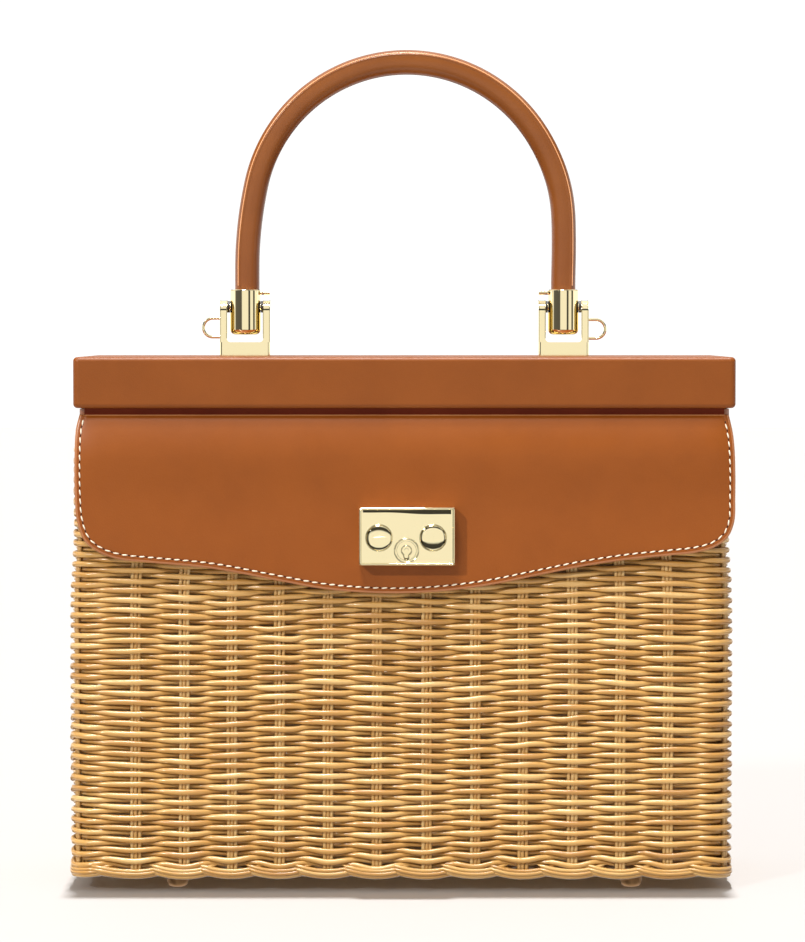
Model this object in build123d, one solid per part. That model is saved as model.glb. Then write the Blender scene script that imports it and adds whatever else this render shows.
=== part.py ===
from build123d import *
import math
import os

# Basket box bag: a woven wicker box with a leather-covered hinged lid, a leather flap with a
# lock on it, and an arched leather-covered handle on two clevis brackets.
# Millimetres, +Z up, front faces -Y, origin at the centre of the footprint on the ground.

# ---------------------------------------------------------------- driving dimensions
LID_W = 280.0            # lid, left to right
LID_YF, LID_YB = -54.4, 54.6
LID_Z0, LID_Z1 = 206.0, 227.6
LID_EDGE_R = 1.8         # top edges
LID_FOOT_R = 1.9         # bottom edges
LID_CORNER_R = 2.4       # upright corners
LEATHER_T = 1.2
LID_WALL = 6.8           # wooden wall of the hollow lid
LID_PANEL = 4.0          # wooden top panel of the lid

BODY_HW_TOP = 138.6      # half width of the weave at its top
BODY_YF, BODY_YB = -48.3, 53.7   # outer faces of the weave at its top
BODY_TAPER = 0.69        # degrees, the basket widens towards its base
BODY_R = 11.0            # corner radius of the weave at its top
WEAVE_T = 6.6            # weaver over stake, outside to inside
WALL_Z0, WALL_Z1 = 10.5, 195.8
BORDER_Z0 = 5.5
RIM_Z1 = 205.4
RIM_T = 5.0
LINING_T = 0.7

FLAP_YO = -53.2          # outer face of the flap
FLAP_LEATHER_T = 1.6
FLAP_LINING_T = 1.0
FLAP_AXIS = (-51.9, 203.6)       # y, z of the flap's fold
FLAP_TOP = 205.2

HINGE_AXIS = (58.0, 205.7)       # y, z of the lid hinge
HINGE_X = 88.0
HINGE_W = 34.0
KNUCKLE_R = 2.7
HINGE_PIN_R = 1.2

PIVOT_Z = 249.1          # handle pivot
HANDLE_HALF = 69.4       # leg centre from the middle of the bag
HANDLE_R = 5.1           # leather-covered tube
CORE_R = 3.5
ARC_TOP_Z = 355.8        # centre line at the crown
ARC_R1, ARC_R2 = 67.1, 170.0
SOCKET_Z = 251.8

BRACKET_W = 21.6
EAR_T = 2.9
EAR_D = 9.6
EAR_TOP = 251.8
BASE_D = 13.0
BASE_T = 6.1
FERRULE_R = 6.65
FERRULE_Z0, FERRULE_Z1 = 237.0, 256.6
PIVOT_R = 1.6
RUN_CLEAR = 0.05

LOCK_X, LOCK_Z = 1.1, 152.15
LOCK_W, LOCK_H, LOCK_D = 40.5, 24.5, 7.0
LOCK_T = 1.2
BUTTON_R = 5.4
BUTTON_DX_L, BUTTON_DX_R = -11.8, 11.0
BUTTON_DZ = -0.6
BUTTON_TRAVEL = 1.5
KEY_DX, KEY_DZ = -0.2, -6.0
STUD_Z = 157.6
STUD_NECK_R, STUD_HEAD_R = 1.1, 2.6

FOOT_X, FOOT_Y = 97.5, 36.0
FOOT_R, FOOT_H = 4.6, 7.0


# ---------------------------------------------------------------- helpers
def box(x0, x1, y0, y1, z0, z1):
    return Pos((x0 + x1) / 2, (y0 + y1) / 2, (z0 + z1) / 2) * Box(x1 - x0, y1 - y0, z1 - z0)


def cyl_z(x, y, z0, z1, r):
    return Pos(x, y, (z0 + z1) / 2) * Cylinder(r, z1 - z0)


def cyl_x(y, z, x0, x1, r):
    return Pos((x0 + x1) / 2, y, z) * (Rot(0, 90, 0) * Cylinder(r, x1 - x0))


def cyl_y(x, z, y0, y1, r):
    return Pos(x, (y0 + y1) / 2, z) * (Rot(90, 0, 0) * Cylinder(r, y1 - y0))


def slab(x0, x1, y0, y1, z0, z1, r, taper=0.0):
    """Upright block with rounded vertical corners; taper in degrees narrows it upwards."""
    f = Pos((x0 + x1) / 2, (y0 + y1) / 2, z0) * RectangleRounded(x1 - x0, y1 - y0, r)
    return extrude(f, amount=z1 - z0, dir=(0, 0, 1), taper=taper)


def one(s):
    """The single solid of a result."""
    sol = s.solids()
    return sol[0] if len(sol) == 1 else Compound(children=list(sol))


NODES = {}


def put(name, s):
    NODES[name] = one(s)


def group(solids):
    out = []
    for s in solids:
        out.extend(s.solids())
    return Compound(children=out)


# ---------------------------------------------------------------- basket body
GROW = (WALL_Z1 - WALL_Z0) * math.tan(math.radians(BODY_TAPER))
bx = BODY_HW_TOP + GROW
byf, byb = BODY_YF - GROW, BODY_YB + GROW
BODY_YC = (BODY_YF + BODY_YB) / 2

wall = slab(-bx, bx, byf, byb, WALL_Z0, WALL_Z1, BODY_R + GROW, BODY_TAPER) - slab(
    -bx + WEAVE_T, bx - WEAVE_T, byf + WEAVE_T, byb - WEAVE_T, WALL_Z0, WALL_Z1, BODY_R + GROW - WEAVE_T, BODY_TAPER
)

# rolled border that closes the weave at the bottom
border = slab(-bx - 0.3, bx + 0.3, byf - 0.3, byb + 0.3, BORDER_Z0, WALL_Z0, BODY_R + GROW) - slab(
    -bx + WEAVE_T, bx - WEAVE_T, byf + WEAVE_T, byb - WEAVE_T, BORDER_Z0, WALL_Z0, BODY_R + GROW - WEAVE_T
)
border = fillet(border.edges().group_by(Axis.Z)[0], 1.8)
base_panel = slab(-bx + WEAVE_T, bx - WEAVE_T, byf + WEAVE_T, byb - WEAVE_T, FOOT_H, WALL_Z0, BODY_R + GROW - WEAVE_T)

ix = BODY_HW_TOP - WEAVE_T        # inside of the weave at its top
iyf, iyb = BODY_YF + WEAVE_T, BODY_YB - WEAVE_T
ir = BODY_R - WEAVE_T
board = slab(-ix, ix, iyf, iyb, WALL_Z0, WALL_Z0 + 3.0, ir)

# wooden rim inside a leather binding, on top of the weave
rim_cover = slab(-BODY_HW_TOP, BODY_HW_TOP, BODY_YF, BODY_YB, WALL_Z1, RIM_Z1, BODY_R)
rim_wood = slab(-BODY_HW_TOP + 1, BODY_HW_TOP - 1, BODY_YF + 1, BODY_YB - 1, WALL_Z1, RIM_Z1 - 1, BODY_R - 1)
rim_hole = slab(-ix, ix, iyf, iyb, WALL_Z1 - 1, RIM_Z1 + 1, ir)
rim_cover = rim_cover - rim_wood - rim_hole
rim_frame = rim_wood - rim_hole

# fabric lining: an open-topped box against the inside of the weave
lx, lyf, lyb = ix - 0.05, iyf + 0.05, iyb - 0.05
lining = slab(-lx, lx, lyf, lyb, WALL_Z0 + 3.0, RIM_Z1 - 0.6, ir - 0.05) - slab(
    -lx + LINING_T, lx - LINING_T, lyf + LINING_T, lyb - LINING_T, WALL_Z0 + 3.0 + LINING_T, RIM_Z1 + 1, ir - 0.05 - LINING_T
)

# domed feet with shanks through the base, held by push nuts sunk in the board
feet, nuts, shanks = [], [], []
for sx in (-1, 1):
    for sy in (-1, 1):
        x, y = sx * FOOT_X, BODY_YC + sy * FOOT_Y
        dome = cyl_z(x, y, 0, FOOT_H, FOOT_R)
        dome = fillet(dome.edges().group_by(Axis.Z)[0], 2.4)
        shank = cyl_z(x, y, FOOT_H, WALL_Z0 + 2.9, 1.5)
        feet.append(dome + shank)
        shanks.append(shank)
        nut = cyl_z(x, y, WALL_Z0 + 1.7, WALL_Z0 + 2.8, 4.0)
        nuts.append(nut - shank)
        board = board - nut - cyl_z(x, y, WALL_Z0, WALL_Z0 + 3.0, 1.5)
        base_panel = base_panel - cyl_z(x, y, FOOT_H, WALL_Z0, 1.5)

# catch on the front of the basket: plate and mushroom stud
catch_plate = box(LOCK_X - 9.5, LOCK_X + 9.5, -49.35, -48.35, STUD_Z - 6.5, STUD_Z + 6.5)
catch_plate = fillet(catch_plate.edges().filter_by(Axis.Y), 1.5)
wall = wall - box(LOCK_X - 9.5, LOCK_X + 9.5, -53.0, -48.35, STUD_Z - 6.5, STUD_Z + 6.5)
stud = cyl_y(LOCK_X, STUD_Z, -52.7, -49.35, STUD_NECK_R) + cyl_y(LOCK_X, STUD_Z, -53.6, -52.7, STUD_HEAD_R)
rivets = []
for sx in (-1, 1):
    rv = cyl_y(LOCK_X + sx * 6.5, STUD_Z, -49.35, BODY_YF + WEAVE_T - 0.2, 1.2)
    rivets.append(rv)
    catch_plate = catch_plate - rv
    wall = wall - rv
stud_tail = cyl_y(LOCK_X, STUD_Z, -49.35, BODY_YF + WEAVE_T - 0.2, STUD_NECK_R)
stud = stud + stud_tail
catch_plate = catch_plate - stud_tail
wall = wall - stud_tail

# ---------------------------------------------------------------- lid
hw = LID_W / 2
lid_outer = slab(-hw, hw, LID_YF, LID_YB, LID_Z0, LID_Z1, LID_CORNER_R)
lid_outer = fillet(lid_outer.edges().group_by(Axis.Z)[-1], LID_EDGE_R)
lid_outer = fillet(lid_outer.edges().group_by(Axis.Z)[0], LID_FOOT_R)
wood = box(-hw + LEATHER_T, hw - LEATHER_T, LID_YF + LEATHER_T, LID_YB - LEATHER_T, LID_Z0 + LEATHER_T, LID_Z1 - LEATHER_T)
wood = fillet(wood.edges().filter_by(Axis.Z), 1.4)
wood = fillet(wood.edges().group_by(Axis.Z)[-1], 0.9)
wood = fillet(wood.edges().group_by(Axis.Z)[0], 0.9)
cav = (-hw + LEATHER_T + LID_WALL, hw - LEATHER_T - LID_WALL, LID_YF + LEATHER_T + LID_WALL, LID_YB - LEATHER_T - LID_WALL)
panel_z = LID_Z1 - LEATHER_T - LID_PANEL
cavity = box(*cav, LID_Z0 - 1, panel_z)
lid_cover = lid_outer - wood - box(*cav, LID_Z0 - 1, LID_Z0 + LEATHER_T + 1)
lid_board = wood - cavity
lid_lining = box(cav[0] + 0.05, cav[1] - 0.05, cav[2] + 0.05, cav[3] - 0.05, LID_Z0 + 0.4, panel_z - 2.2) - box(
    cav[0] + 0.75, cav[1] - 0.75, cav[2] + 0.75, cav[3] - 0.75, LID_Z0 - 1, panel_z - 2.9
)

# ---------------------------------------------------------------- lid hinges, a pair of butt hinges on the back
hy, hz = HINGE_AXIS
leaf_b, leaf_l, pins, screws_b, screws_l = [], [], [], [], []
k = HINGE_W / 3
for sx in (-1, 1):
    x0, x1 = sx * HINGE_X - HINGE_W / 2, sx * HINGE_X + HINGE_W / 2
    # basket leaf: plate on the rim and the two outer knuckles
    pb = box(x0, x1, BODY_YB, BODY_YB + 1.0, 196.2, 204.1)
    web = box(x0, x1, BODY_YB, hy, 203.0, 204.1)
    outer_k = cyl_x(hy, hz, x0, x0 + k - 0.1, KNUCKLE_R) + cyl_x(hy, hz, x1 - k + 0.1, x1, KNUCKLE_R)
    gap = box(x0 + k - 0.1, x1 - k + 0.1, BODY_YB + 1.0, hy + 4, 202.6, hz + 4)
    lb = (pb + (web - gap) + outer_k) - cyl_x(hy, hz, x0, x1, HINGE_PIN_R)
    # lid leaf: plate on the back of the lid and the middle knuckle
    pl = box(x0, x1, LID_YB, LID_YB + 1.0, 207.8, 222.5)
    mid_k = cyl_x(hy, hz, x0 + k + 0.1, x1 - k - 0.1, KNUCKLE_R)
    webl = box(x0 + k + 0.1, x1 - k - 0.1, LID_YB, hy, 207.3, 208.4)
    ll = (pl + webl + mid_k) - cyl_x(hy, hz, x0, x1, HINGE_PIN_R + RUN_CLEAR)
    pin = cyl_x(hy, hz, x0, x1, HINGE_PIN_R)
    pin = pin + cyl_x(hy, hz, x0 - 0.8, x0, 1.8) + cyl_x(hy, hz, x1, x1 + 0.8, 1.8)
    for dx in (-11.5, 0, 11.5):
        sb = cyl_y(sx * HINGE_X + dx, 199.0, BODY_YB - 4.5, BODY_YB + 1.0, 0.9) + cyl_y(sx * HINGE_X + dx, 199.0, BODY_YB + 1.0, BODY_YB + 1.7, 1.8)
        screws_b.append(sb)
        lb = lb - sb
        rim_cover = rim_cover - sb
        rim_frame = rim_frame - sb
        sl = cyl_y(sx * HINGE_X + dx, 217.5, LID_YB - 6.0, LID_YB + 1.0, 0.9) + cyl_y(sx * HINGE_X + dx, 217.5, LID_YB + 1.0, LID_YB + 1.7, 1.8)
        screws_l.append(sl)
        ll = ll - sl
        lid_cover = lid_cover - sl
        lid_board = lid_board - sl
    leaf_b.append(lb)
    leaf_l.append(ll)
    pins.append(pin)

# ---------------------------------------------------------------- handle brackets, pins, washers, strap loops
bz0, bz1 = LID_Z1, LID_Z1 + BASE_T
brackets, pivot_pins, washers, loops, bracket_screws = {}, {}, [], {}, []
for side, sx in (("left", -1), ("right", 1)):
    xc = sx * HANDLE_HALF
    h = BRACKET_W / 2
    b = box(xc - h, xc + h, -BASE_D / 2, BASE_D / 2, bz0, bz1)
    b = fillet(b.edges().filter_by(Axis.Z), 1.0)
    for ex in (-1, 1):
        xa, xb_ = sorted((xc + ex * h, xc + ex * (h - EAR_T)))
        ear = box(xa, xb_, -EAR_D / 2, EAR_D / 2, bz1 - 2, EAR_TOP - EAR_D / 2) + cyl_x(0, EAR_TOP - EAR_D / 2, xa, xb_, EAR_D / 2)
        b = b + ear
        xi = xc + ex * (h - EAR_T)
        # fillet web at the foot of the ear, inside
        cornerb = box(*sorted((xi, xi - ex * 1.6)), -EAR_D / 2, EAR_D / 2, bz1, bz1 + 1.6) - cyl_y(xi - ex * 1.6, bz1 + 1.6, -EAR_D, EAR_D, 1.6)
        b = b + cornerb
    b = b - cyl_x(0, PIVOT_Z, xc - h - 1, xc + h + 1, PIVOT_R)
    p = cyl_x(0, PIVOT_Z, xc - h, xc + h, PIVOT_R)
    for ex in (-1, 1):
        xa, xb_ = sorted((xc + ex * (h - EAR_T), xc + ex * (FERRULE_R + 0.15)))
        washers.append(cyl_x(0, PIVOT_Z, xa, xb_, 2.5) - p)
    # strap loop, bent wire set in the outer ear
    zl = 240.0 if sx < 0 else 239.4
    rw, rc = 0.62, 4.1
    xe = xc + sx * h
    xs = xe - sx * 1.5
    xk = xe + sx * (8.2 - rw - rc)
    path = (
        Line((xs, 0, zl + rc), (xk, 0, zl + rc))
        + ThreePointArc((xk, 0, zl + rc), (xk + sx * rc, 0, zl), (xk, 0, zl - rc))
        + Line((xk, 0, zl - rc), (xs, 0, zl - rc))
    )
    loop = sweep(Plane(origin=(xs, 0, zl + rc), z_dir=(sx, 0, 0)) * Circle(rw), path=path)
    b = b - cyl_x(0, zl + rc, *sorted((xs, xe)), rw) - cyl_x(0, zl - rc, *sorted((xs, xe)), rw)
    for sy in (-1, 1):
        s = cyl_z(xc, sy * 3.6, panel_z, bz1 - 1.6, 1.5) + cyl_z(xc, sy * 3.6, panel_z - 2.0, panel_z, 3.0)
        bracket_screws.append(s)
        b = b - s
        lid_cover = lid_cover - s
        lid_board = lid_board - s
    brackets[side], pivot_pins[side], loops[side] = b, p, loop

# ---------------------------------------------------------------- handle
zc1 = ARC_TOP_Z - ARC_R1
dz = math.sqrt((ARC_R2 - ARC_R1) ** 2 - (ARC_R2 - HANDLE_HALF) ** 2)
zc2 = zc1 - dz
ang = math.atan2(dz, ARC_R2 - HANDLE_HALF)


def on2(a, sx):
    return (sx * (HANDLE_HALF - ARC_R2 + ARC_R2 * math.cos(a)), 0, zc2 + ARC_R2 * math.sin(a))


def on1(a):
    return (ARC_R1 * math.cos(a), 0, zc1 + ARC_R1 * math.sin(a))


path = (
    Line((HANDLE_HALF, 0, SOCKET_Z), (HANDLE_HALF, 0, zc2))
    + ThreePointArc((HANDLE_HALF, 0, zc2), on2(ang / 2, 1), on2(ang, 1))
    + ThreePointArc(on1(ang), (0, 0, zc1 + ARC_R1), on1(math.pi - ang))
    + ThreePointArc(on2(ang, -1), on2(ang / 2, -1), (-HANDLE_HALF, 0, zc2))
    + Line((-HANDLE_HALF, 0, zc2), (-HANDLE_HALF, 0, SOCKET_Z))
)
start = Plane(origin=(HANDLE_HALF, 0, SOCKET_Z), z_dir=(0, 0, 1))
core = sweep(start * Circle(CORE_R), path=path)
sleeve = sweep(start * (Circle(HANDLE_R) - Circle(CORE_R)), path=path)
ferrules, keepers = {}, []
for side, sx in (("left", -1), ("right", 1)):
    xc = sx * HANDLE_HALF
    f = cyl_z(xc, 0, FERRULE_Z0, FERRULE_Z1, FERRULE_R)
    f = fillet(f.edges().group_by(Axis.Z)[0], 2.2)
    f = fillet(f.edges().group_by(Axis.Z)[-1], 0.5)
    f = f - cyl_z(xc, 0, SOCKET_Z, FERRULE_Z1 + 1, HANDLE_R)
    f = f - cyl_x(0, PIVOT_Z, xc - 8, xc + 8, PIVOT_R + RUN_CLEAR)
    # keeper pin through ferrule, leather and core, standing out towards the middle of the bag
    kp = cyl_x(0, PIVOT_Z + 6.1, *sorted((xc - sx * 1.5, xc - sx * 10.7)), 0.85)
    keepers.append(kp)
    f, core, sleeve = f - kp, core - kp, sleeve - kp
    ferrules[side] = f

# ---------------------------------------------------------------- flap
FLAP_L = [(-137.6, 204.0), (-139.0, 197.0), (-139.5, 186.0), (-139.5, 171.0), (-138.6, 158.5), (-135.4, 149.8), (-129.4, 144.9), (-121.0, 142.0), (-108.0, 140.6), (-81.3, 138.0), (-53.8, 132.9), (-35.5, 129.6), (-17.1, 127.9), (0.0, 127.6)]
FLAP_R = [(17.6, 128.6), (37.0, 131.2), (56.3, 135.1), (75.8, 139.0), (95.2, 141.9), (112.0, 143.6), (123.0, 144.8), (131.4, 147.2), (136.9, 151.4), (139.6, 158.0), (140.0, 168.0), (140.0, 180.0), (139.3, 193.0), (137.4, 204.0)]
outline = Spline(*[(x, z) for x, z in FLAP_L + FLAP_R])
top = Polyline((137.4, 204.0), (137.4, FLAP_TOP), (-137.6, FLAP_TOP), (-137.6, 204.0))
face = make_face(outline + top)


def flap_layer(y0, y1, inset=0.0):
    f = Plane(origin=(0, y1, 0), x_dir=(1, 0, 0), z_dir=(0, -1, 0)) * face
    return extrude(f, amount=y1 - y0, dir=(0, -1, 0))


y1 = FLAP_YO + FLAP_LEATHER_T
y2 = y1 + FLAP_LINING_T
flap_leather = flap_layer(FLAP_YO, y1)
flap_lining = flap_layer(y1, y2)
window = box(LOCK_X - 15.6, LOCK_X + 15.6, FLAP_YO - 1, y2 + 1, LOCK_Z - 9.5, LOCK_Z + 9.5)
flap_leather = flap_leather - window
flap_lining = flap_lining - window

# ---------------------------------------------------------------- lock
lf = FLAP_YO - LOCK_D                     # front face of the lock
case = box(LOCK_X - LOCK_W / 2, LOCK_X + LOCK_W / 2, lf, FLAP_YO, LOCK_Z - LOCK_H / 2, LOCK_Z + LOCK_H / 2)
case = fillet(case.edges().filter_by(Axis.Y), 0.7)
case = fillet(case.edges().group_by(Axis.Y)[0], 0.45)
case = case - box(LOCK_X - LOCK_W / 2 + 1.1, LOCK_X + LOCK_W / 2 - 1.1, lf - 1, lf + 0.25, LOCK_Z - LOCK_H / 2 + 1.1, LOCK_Z + LOCK_H / 2 - 1.1)
case = case - box(LOCK_X - LOCK_W / 2 + LOCK_T, LOCK_X + LOCK_W / 2 - LOCK_T, lf + LOCK_T, FLAP_YO + 1, LOCK_Z - LOCK_H / 2 + LOCK_T, LOCK_Z + LOCK_H / 2 - LOCK_T)
back_plate = box(LOCK_X - 18.6, LOCK_X + 18.6, y2, y2 + 0.8, LOCK_Z - 11.3, LOCK_Z + 11.3)
back_plate = back_plate - box(LOCK_X - 3.1, LOCK_X + 3.1, y2 - 1, y2 + 2, STUD_Z - 12.2, STUD_Z + 3.1)
lock_screws = []
for sx in (-1, 1):
    for sz in (-1, 1):
        px, pz = LOCK_X + sx * 17.0, LOCK_Z + sz * 9.2
        boss = cyl_y(px, pz, lf + LOCK_T - 0.1, FLAP_YO, 2.0)
        s = cyl_y(px, pz, lf + 3.0, y2 + 0.8, 0.8) + cyl_y(px, pz, y2 + 0.8, y2 + 1.3, 1.6)
        lock_screws.append(s)
        case = (case + boss) - s
        back_plate = back_plate - s
        flap_leather = flap_leather - s
        flap_lining = flap_lining - s
# inner plate that guides the buttons and carries the key pin
ip0, ip1 = FLAP_YO - 2.2, FLAP_YO - 1.4
inner_plate = box(LOCK_X - LOCK_W / 2 + LOCK_T, LOCK_X + LOCK_W / 2 - LOCK_T, ip0, ip1, LOCK_Z - LOCK_H / 2 + LOCK_T, LOCK_Z + LOCK_H / 2 - LOCK_T)
for sx in (-1, 1):
    for sz in (-1, 1):
        inner_plate = inner_plate - cyl_y(LOCK_X + sx * 17.0, LOCK_Z + sz * 9.2, ip0 - 1, ip1 + 1, 2.0)
kx, kz = LOCK_X + KEY_DX, LOCK_Z + KEY_DZ
key_pin = cyl_y(kx, kz, lf + 0.1, ip1, 0.9)
inner_plate = inner_plate - key_pin
# raised keyhole rosette, part of the case
rosette = cyl_y(kx, kz, lf - 0.3, lf + LOCK_T, 5.3) - cyl_y(kx, kz, lf - 0.4, lf + 0.1, 4.2)
hole = cyl_y(kx, kz, lf - 1, lf + LOCK_T + 0.2, 2.0) + box(kx - 0.7, kx + 0.7, lf - 1, lf + LOCK_T + 0.2, kz - 4.0, kz)
case = (case + rosette) - hole
# key-turned cam on the pin
cam = cyl_y(kx, kz, lf + 2.0, lf + 3.6, 3.0) + box(kx - 1.4, kx + 1.4, lf + 2.0, lf + 3.6, kz, kz + 4.6)
cam = cam - cyl_y(kx, kz, lf, lf + 6, 0.9 + RUN_CLEAR) - box(kx - 0.7, kx + 0.7, lf + 1, lf + 2.9, kz - 2.6, kz)
buttons, springs, jaws = {}, {}, {}
# latch jaws sit on the back plate and grip the stud's neck; the stems' wedges push them apart
jy0, jy1 = y2 - 1.9, y2 - 0.1
for side, sx, dx in (("left", -1, BUTTON_DX_L), ("right", 1, BUTTON_DX_R)):
    bxx, bzz = LOCK_X + dx, LOCK_Z + BUTTON_DZ
    case = case - cyl_y(bxx, bzz, lf - 1, lf + LOCK_T + 0.2, BUTTON_R + 0.12)
    face_d = cyl_y(bxx, bzz, lf - 0.6, lf + LOCK_T + 0.15, BUTTON_R)
    face_d = fillet(face_d.edges().group_by(Axis.Y)[0], 0.35)
    if side == "left":
        face_d = face_d - box(bxx - 2.2, bxx + 2.2, lf - 1, lf - 0.35, bzz - 0.35, bzz + 0.35)
    flange = cyl_y(bxx, bzz, lf + LOCK_T + 0.15, lf + LOCK_T + 0.8, 6.2)
    tip = -52.4 + 0.3
    w = 1.5
    stem = box(bxx - w, bxx + w, lf + LOCK_T + 0.8, tip, bzz - w, bzz + w)
    # 45 degree wedge on the outer side of the stem's end
    wedge = Polyline((bxx + sx * w, tip - 1.8), (bxx + sx * (w + 2), tip - 3.8), (bxx + sx * (w + 2), tip + 1), (bxx + sx * (w - 2.8), tip + 1), close=True)
    wedge = extrude(Plane(origin=(0, 0, bzz - 3), x_dir=(1, 0, 0), z_dir=(0, 0, 1)) * make_face(wedge), amount=6, dir=(0, 0, 1))
    stem = stem - wedge
    inner_plate = inner_plate - box(bxx - w - 0.1, bxx + w + 0.1, ip0 - 1, ip1 + 1, bzz - w - 0.1, bzz + w + 0.1)
    buttons[side] = face_d + flange + stem
    # helical spring between flange and inner plate, as a short stack of rings
    pitch = (ip0 - (lf + LOCK_T + 0.8)) / 3
    ring = None
    rr = 0.25
    for n in range(3):
        yy = lf + LOCK_T + 0.8 + pitch * (n + 0.5)
        t = Pos(bxx, yy, bzz) * (Rot(90, 0, 0) * Torus(3.0, rr))
        ring = t if ring is None else ring + t
    rail = box(bxx - 0.2, bxx + 0.2, lf + LOCK_T + 0.8 + pitch * 0.5, lf + LOCK_T + 0.8 + pitch * 2.5, bzz + 2.85, bzz + 3.15)
    springs[side] = ring + rail
    # jaw
    g = 0.1
    xe = sx * w + sx * (jy0 * -1 + tip - 1.8) + sx * g      # window edge at the jaw's front face, from the button axis
    x_in = LOCK_X + sx * (STUD_NECK_R + 0.1)
    x_out = bxx + sx * (abs(xe) + 1.4)
    j = box(*sorted((x_in, x_out)), jy0, jy1, bzz - 3.0, STUD_Z + 2.0)
    win = Polyline(
        (bxx - sx * (w + 1.8), jy0 - 1),
        (bxx + xe + sx * 1.0, jy0 - 1),
        (bxx + xe - sx * (jy1 + 1 - jy0), jy1 + 1),
        (bxx - sx * (w + 1.8), jy1 + 1),
        close=True,
    )
    win = extrude(Plane(origin=(0, 0, bzz - w - 0.15), x_dir=(1, 0, 0), z_dir=(0, 0, 1)) * make_face(win), amount=2 * w + 0.3, dir=(0, 0, 1))
    notch_round = cyl_y(LOCK_X, STUD_Z, jy0 - 1, jy1 + 1, STUD_NECK_R + 0.1)
    lower = box(*sorted((LOCK_X, LOCK_X + sx * 3.2)), jy0 - 1, jy1 + 1, bzz - 4, STUD_Z - 2.0)
    j = j - win - notch_round - lower
    jaws[side] = j

# ---------------------------------------------------------------- write every piece
put("wicker_wall", wall)
put("wicker_border", border)
put("wicker_base", base_panel)
put("base_board", board)
put("rim_frame", rim_frame)
put("rim_cover", rim_cover)
put("basket_lining", lining)
NODES["feet"] = group(feet)
NODES["foot_nuts"] = group(nuts)
put("catch_plate", catch_plate)
put("catch_stud", stud)
NODES["catch_rivets"] = group(rivets)
NODES["hinge_basket_leaves"] = group(leaf_b)
NODES["hinge_pins"] = group(pins)
NODES["hinge_screws_basket"] = group(screws_b)
put("lid_board", lid_board)
put("lid_cover", lid_cover)
put("lid_lining", lid_lining)
NODES["hinge_lid_leaves"] = group(leaf_l)
NODES["hinge_screws_lid"] = group(screws_l)
for side in ("left", "right"):
    put("bracket_" + side, brackets[side])
    put("pivot_pin_" + side, pivot_pins[side])
    put("strap_loop_" + side, loops[side])
    put("ferrule_" + side, ferrules[side])
    put(side + "_button", buttons[side])
    put(side + "_button_spring", springs[side])
    put(side + "_latch_jaw", jaws[side])
NODES["pivot_washers"] = group(washers)
NODES["bracket_screws"] = group(bracket_screws)
put("handle_core", core)
put("handle_leather", sleeve)
NODES["keeper_pins"] = group(keepers)
put("flap_leather", flap_leather)
put("flap_lining", flap_lining)
put("lock_case", case)
put("lock_inner_plate", inner_plate)
put("lock_back_plate", back_plate)
NODES["lock_screws"] = group(lock_screws)
put("key_pin", key_pin)
put("key_cam", cam)

os.makedirs("parts", exist_ok=True)
for name, shape in NODES.items():
    export_step(shape, "parts/" + name + ".step")
print(len(NODES), "nodes written")
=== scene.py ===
import math

import bpy
import numpy as np
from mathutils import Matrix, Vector


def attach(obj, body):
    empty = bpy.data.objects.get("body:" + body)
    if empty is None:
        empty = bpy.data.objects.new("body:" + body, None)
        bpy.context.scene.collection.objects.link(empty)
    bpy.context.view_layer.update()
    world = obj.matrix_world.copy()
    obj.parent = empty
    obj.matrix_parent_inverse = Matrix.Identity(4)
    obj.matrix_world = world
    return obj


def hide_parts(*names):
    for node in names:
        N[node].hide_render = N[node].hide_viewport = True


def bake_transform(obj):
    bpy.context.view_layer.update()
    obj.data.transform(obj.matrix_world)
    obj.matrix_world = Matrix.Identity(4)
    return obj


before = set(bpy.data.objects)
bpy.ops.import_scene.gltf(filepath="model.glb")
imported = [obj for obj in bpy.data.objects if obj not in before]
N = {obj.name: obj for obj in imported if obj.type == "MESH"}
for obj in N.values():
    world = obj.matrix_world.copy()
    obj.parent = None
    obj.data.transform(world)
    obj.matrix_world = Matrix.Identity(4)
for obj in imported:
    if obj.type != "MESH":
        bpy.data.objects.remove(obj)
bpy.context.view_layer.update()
MM = 0.001
rng = np.random.default_rng(4207)


# ------------------------------------------------------------------ mesh helpers
def make_mesh(name, verts, faces, mat, uv=None, tint=None, smooth=True):
    """verts in millimetres; uv and tint are given per vertex."""
    me = bpy.data.meshes.new(name)
    me.from_pydata((np.asarray(verts, float) * MM).tolist(), [], [list(map(int, f)) for f in faces])
    me.validate()
    me.update()
    if uv is not None:
        idx = np.zeros(len(me.loops), int)
        me.loops.foreach_get("vertex_index", idx)
        lay = me.uv_layers.new(name="UVMap")
        lay.data.foreach_set("uv", np.asarray(uv, float)[idx].astype(np.float32).ravel())
    if tint is not None:
        a = me.attributes.new("tint", "FLOAT", "POINT")
        a.data.foreach_set("value", np.asarray(tint, np.float32))
    if smooth:
        me.polygons.foreach_set("use_smooth", [True] * len(me.polygons))
    ob = bpy.data.objects.new(name, me)
    bpy.context.scene.collection.objects.link(ob)
    me.materials.append(mat)
    return ob


class Bag:
    """Collects several bits of mesh into one piece."""

    def __init__(self):
        self.v, self.f, self.uv, self.t, self.n = [], [], [], [], 0

    def add(self, v, f, uv=None, tint=0.5):
        v = np.asarray(v, float)
        self.v.append(v)
        self.f.append(np.asarray(f, int) + self.n)
        self.uv.append(np.zeros((len(v), 2)) if uv is None else uv)
        self.t.append(np.full(len(v), tint) if np.isscalar(tint) else tint)
        self.n += len(v)

    def build(self, name, mat, smooth=True):
        faces = [f[:3] if f[2] == f[-1] else f for g in self.f for f in g.tolist()]
        return make_mesh(name, np.concatenate(self.v), faces, mat, np.concatenate(self.uv), np.concatenate(self.t), smooth)


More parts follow.
